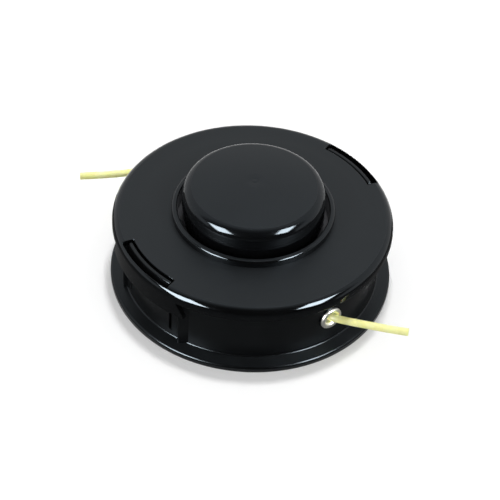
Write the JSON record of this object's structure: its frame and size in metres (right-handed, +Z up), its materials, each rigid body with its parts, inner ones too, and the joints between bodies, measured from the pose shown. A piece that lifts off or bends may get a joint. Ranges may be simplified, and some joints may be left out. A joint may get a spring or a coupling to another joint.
{
  "type": "trimmer head",
  "caption": "Round bump-feed trimmer head with a domed knob in a raised collar, a cover held by sprung latches, a flanged housing and nylon line leaving through metal eyelets.",
  "frame": {"origin": "on the head's axis, in the plane that the flange stands on", "axes": "+Z up through the knob, +X to the picture's right, +Y away from the picture's camera"},
  "size_m": [0.1356, 0.1142, 0.0481],
  "materials": {
    "shell_black": "glossy injection-moulded nylon",
    "knob_black": "glossy with a fine moulded grain",
    "spool_grey": "matt injection-moulded nylon",
    "line_yellow": "smooth translucent nylon line",
    "spring_steel": "drawn spring steel",
    "plain_steel": "zinc-plated, satin",
    "eyelet_metal": "rolled and polished by the line"
  },
  "bodies": {
    "housing": {"housing": "shell_black", "cover": "shell_black", "eyelet_front": "eyelet_metal", "eyelet_rear": "eyelet_metal", "arbor": "plain_steel", "arbor_clip": "spring_steel", "line_tail_front": "line_yellow", "line_tail_rear": "line_yellow"},
    "spring_seat": {"thrust_washer": "plain_steel", "feed_spring": "spring_steel"},
    "spool": {"spool": "spool_grey", "line_winding_upper": "line_yellow", "line_winding_lower": "line_yellow", "bump_knob": "knob_black", "knob_screw": "plain_steel", "screw_washer": "plain_steel"}
  },
  "joints": [
    {"name": "spool_turn", "type": "hinge", "parent": "housing", "child": "spring_seat", "pos_m": [0, 0, 0.004], "axis": [0, 0, 1], "continuous": true},
    {"name": "knob_press", "type": "slide", "parent": "spring_seat", "child": "spool", "axis": [0, 0, -1], "range_m": [0, 0.004], "stiffness_N_per_m": 1500, "springref_m": -0.01, "deforming": ["feed_spring"]}
  ]
}
